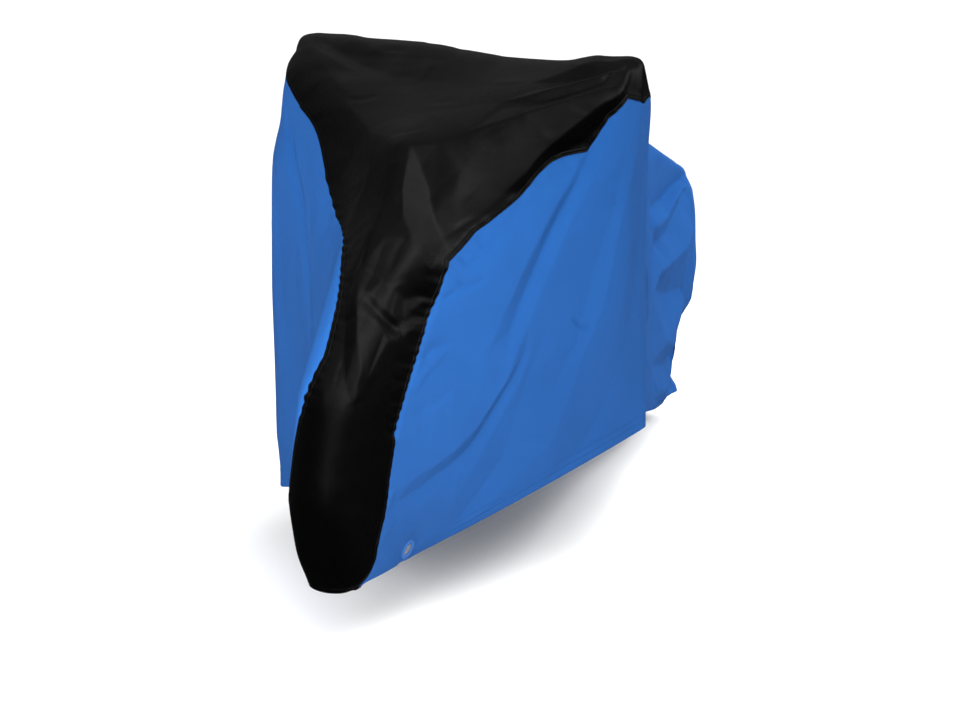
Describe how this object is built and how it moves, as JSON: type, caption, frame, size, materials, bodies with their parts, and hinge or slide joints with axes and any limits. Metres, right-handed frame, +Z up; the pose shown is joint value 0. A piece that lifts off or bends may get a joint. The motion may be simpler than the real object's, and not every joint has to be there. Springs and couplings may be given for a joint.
{
  "type": "bicycle cover",
  "caption": "Fitted cloth cover for a parked bicycle: black centre panel, blue side panels and lock eyelets at the front hem.",
  "frame": {"origin": "underside of the cloth over the middle of the handlebar, where the bicycle holds the cover up", "axes": "+X towards the front wheel, +Y to the bicycle's left, +Z up"},
  "size_m": [1.7694, 0.7611, 0.99],
  "materials": {
    "black_cloth": "black coated polyester, satin",
    "blue_cloth": "blue coated polyester, satin",
    "eyelet": "light blue, smooth"
  },
  "bodies": {
    "root": {"center_panel_front": "black_cloth", "center_panel_bar": "black_cloth", "center_panel_saddle": "black_cloth", "eyelet_corner_left": "blue_cloth", "side_panel_left_front": "blue_cloth", "side_panel_left_saddle": "blue_cloth", "side_panel_left_tail": "blue_cloth", "eyelet_corner_right": "blue_cloth", "side_panel_right_front": "blue_cloth", "side_panel_right_saddle": "blue_cloth", "side_panel_right_tail": "blue_cloth", "eyelet_left": "eyelet", "eyelet_right": "eyelet"}
  },
  "joints": []
}
